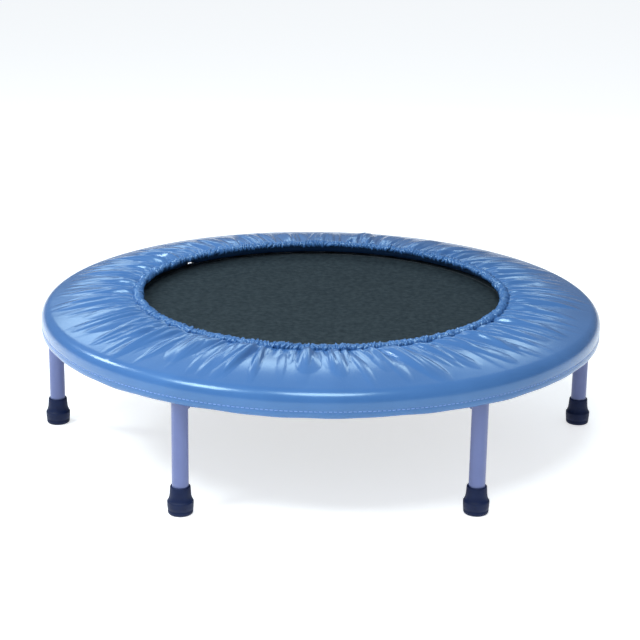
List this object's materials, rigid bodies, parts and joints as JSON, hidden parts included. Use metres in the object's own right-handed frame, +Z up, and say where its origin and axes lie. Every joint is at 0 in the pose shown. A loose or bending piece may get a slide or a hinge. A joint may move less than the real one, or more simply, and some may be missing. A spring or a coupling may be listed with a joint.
{
  "type": "mini trampoline",
  "caption": "Round mini trampoline: woven jumping mat held by springs in a tube ring, padded vinyl cover, fold-in tube legs with rubber feet.",
  "frame": {"origin": "on the floor, under the centre of the jumping mat", "axes": "+Z up; +X from the centre towards the first leg"},
  "size_m": [0.915, 0.914, 0.2367],
  "materials": {
    "frame_paint": "satin powder coat, lavender blue",
    "zinc": "bright zinc plate",
    "nylon": "natural nylon",
    "cap_plastic": "moulded, satin",
    "foot_rubber": "moulded navy rubber, satin",
    "pad_vinyl": "coated vinyl cloth, soft gloss",
    "foam": "open foam",
    "elastic": "braided elastic",
    "mat_weave": "woven polypropylene, matt",
    "webbing": "woven webbing"
  },
  "bodies": {
    "frame": {"frame_ring": "frame_paint", "pivot_bolts": "zinc", "pivot_nuts": "zinc", "friction_washers": "nylon", "springs": "zinc", "pad_cover": "pad_vinyl", "pad_foam": "foam", "opening_elastic": "elastic", "hem_elastic": "elastic", "hinge_bracket_1": "frame_paint", "hinge_bracket_2": "frame_paint", "hinge_bracket_3": "frame_paint", "hinge_bracket_4": "frame_paint", "hinge_bracket_5": "frame_paint", "hinge_bracket_6": "frame_paint"},
    "mat": {"jump_mat": "mat_weave", "edge_band": "webbing", "webbing_tabs": "webbing", "v_rings": "zinc"},
    "leg_1": {"leg_tube_1": "frame_paint", "leg_lug_1": "frame_paint", "leg_cap_1": "cap_plastic", "hinge_bush_1": "nylon", "rubber_foot_1": "foot_rubber", "foot_disc_1": "zinc"},
    "leg_2": {"leg_tube_2": "frame_paint", "leg_lug_2": "frame_paint", "leg_cap_2": "cap_plastic", "hinge_bush_2": "nylon", "rubber_foot_2": "foot_rubber", "foot_disc_2": "zinc"},
    "leg_3": {"leg_tube_3": "frame_paint", "leg_lug_3": "frame_paint", "leg_cap_3": "cap_plastic", "hinge_bush_3": "nylon", "rubber_foot_3": "foot_rubber", "foot_disc_3": "zinc"},
    "leg_4": {"leg_tube_4": "frame_paint", "leg_lug_4": "frame_paint", "leg_cap_4": "cap_plastic", "hinge_bush_4": "nylon", "rubber_foot_4": "foot_rubber", "foot_disc_4": "zinc"},
    "leg_5": {"leg_tube_5": "frame_paint", "leg_lug_5": "frame_paint", "leg_cap_5": "cap_plastic", "hinge_bush_5": "nylon", "rubber_foot_5": "foot_rubber", "foot_disc_5": "zinc"},
    "leg_6": {"leg_tube_6": "frame_paint", "leg_lug_6": "frame_paint", "leg_cap_6": "cap_plastic", "hinge_bush_6": "nylon", "rubber_foot_6": "foot_rubber", "foot_disc_6": "zinc"}
  },
  "joints": [
    {"name": "mat_bounce", "type": "slide", "parent": "frame", "child": "mat", "axis": [0, 0, 1], "range_m": [-0.06, 0], "stiffness_N_per_m": 12000, "deforming": ["springs"]},
    {"name": "leg_1_fold", "type": "hinge", "parent": "frame", "child": "leg_1", "pos_m": [0.41774, 0, 0.1779], "axis": [0, 1, 0], "range_deg": [0, 90]},
    {"name": "leg_2_fold", "type": "hinge", "parent": "frame", "child": "leg_2", "pos_m": [0.20887, 0.36177, 0.1779], "axis": [-0.866, 0.5, 0], "range_deg": [0, 90]},
    {"name": "leg_3_fold", "type": "hinge", "parent": "frame", "child": "leg_3", "pos_m": [-0.20887, 0.36177, 0.1779], "axis": [-0.866, -0.5, 0], "range_deg": [0, 90]},
    {"name": "leg_4_fold", "type": "hinge", "parent": "frame", "child": "leg_4", "pos_m": [-0.41774, 0, 0.1779], "axis": [0, -1, 0], "range_deg": [0, 90]},
    {"name": "leg_5_fold", "type": "hinge", "parent": "frame", "child": "leg_5", "pos_m": [-0.20887, -0.36177, 0.1779], "axis": [0.866, -0.5, 0], "range_deg": [0, 90]},
    {"name": "leg_6_fold", "type": "hinge", "parent": "frame", "child": "leg_6", "pos_m": [0.20887, -0.36177, 0.1779], "axis": [0.866, 0.5, 0], "range_deg": [0, 90]}
  ]
}
